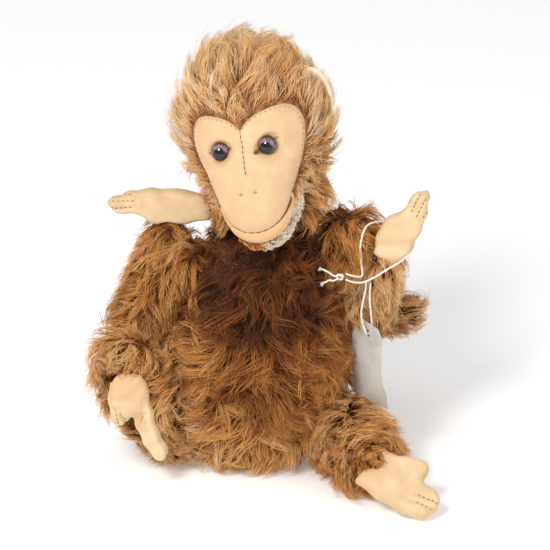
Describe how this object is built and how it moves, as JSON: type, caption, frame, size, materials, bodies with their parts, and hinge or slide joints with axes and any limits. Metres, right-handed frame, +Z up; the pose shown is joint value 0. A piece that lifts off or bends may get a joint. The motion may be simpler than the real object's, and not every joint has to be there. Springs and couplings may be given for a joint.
{
  "type": "jointed mohair toy monkey",
  "caption": "Seated toy monkey in long brown mohair with felt face, hands and feet, glass eyes, disc-jointed head and limbs, and a blank card tag on a string at its left wrist.",
  "frame": {"origin": "middle of the flat seat, on the surface that the monkey sits on", "axes": "+Z up, the monkey faces -Y, its own left side is +X"},
  "size_m": [0.1658, 0.1526, 0.2169],
  "materials": {
    "mohair_brown": "long curly mohair pile, red-brown with golden tips",
    "mohair_tan": "long brushed mohair pile, light tan",
    "mohair_white": "short white mohair pile",
    "felt_cream": "smooth wool felt, slightly worn",
    "thread_brown": "twisted sewing thread",
    "glass_eye": "glossy glass with a black pupil",
    "steel_pin": "plain drawn wire",
    "hardboard": "pressed board",
    "tag_card": "matt card, blank",
    "cotton_string": "twisted white cotton"
  },
  "bodies": {
    "torso": {"torso_cover": "mohair_brown", "tail": "mohair_brown", "neck_disc_body": "hardboard", "neck_pin": "steel_pin", "shoulder_disc_body_left": "hardboard", "shoulder_pin_left": "steel_pin", "hip_disc_body_left": "hardboard", "hip_pin_left": "steel_pin", "shoulder_disc_body_right": "hardboard", "shoulder_pin_right": "steel_pin", "hip_disc_body_right": "hardboard", "hip_pin_right": "steel_pin"},
    "head": {"head_cover": "mohair_tan", "face": "felt_cream", "lower_lip": "felt_cream", "chin_patch": "mohair_white", "ear_left": "felt_cream", "ear_right": "felt_cream", "eye_left": "glass_eye", "eye_right": "glass_eye", "centre_stitch": "thread_brown", "mouth_stitch": "thread_brown", "nostril_left": "thread_brown", "nostril_right": "thread_brown", "neck_disc_head": "hardboard"},
    "arm_left": {"arm_left": "mohair_brown", "hand_left": "felt_cream", "shoulder_disc_arm_left": "hardboard", "wrist_string": "cotton_string", "string_knot": "cotton_string"},
    "arm_right": {"arm_right": "mohair_brown", "hand_right": "felt_cream", "shoulder_disc_arm_right": "hardboard"},
    "leg_left": {"leg_left": "mohair_brown", "foot_left": "felt_cream", "hip_disc_leg_left": "hardboard"},
    "leg_right": {"leg_right": "mohair_brown", "foot_right": "felt_cream", "hip_disc_leg_right": "hardboard"},
    "tag": {"tag_string": "cotton_string", "swing_tag": "tag_card"}
  },
  "joints": [
    {"name": "neck_turn", "type": "hinge", "parent": "torso", "child": "head", "pos_m": [0.01137, 0, 0.129], "axis": [-0.2079, 0, 0.9781], "range_deg": [-45, 45]},
    {"name": "shoulder_left", "type": "hinge", "parent": "torso", "child": "arm_left", "pos_m": [0.0345, 0, 0.1], "axis": [0.922, 0, 0.3872], "range_deg": [-60, 60]},
    {"name": "shoulder_right", "type": "hinge", "parent": "torso", "child": "arm_right", "pos_m": [-0.0195, 0, 0.1], "axis": [-0.922, 0, 0.3872], "range_deg": [-110, 5]},
    {"name": "hip_left", "type": "hinge", "parent": "torso", "child": "leg_left", "pos_m": [0.03313, -0.01054, 0.022], "axis": [0.8784, -0.3197, -0.3552], "range_deg": [-20, 95]},
    {"name": "hip_right", "type": "hinge", "parent": "torso", "child": "leg_right", "pos_m": [-0.02983, -0.01054, 0.022], "axis": [-0.8784, -0.3197, -0.3552], "range_deg": [-95, 5]},
    {"name": "tag_swing", "type": "hinge", "parent": "arm_left", "child": "tag", "pos_m": [0.057, -0.0214, 0.104], "axis": [1, 0, 0], "range_deg": [-35, 5]}
  ]
}
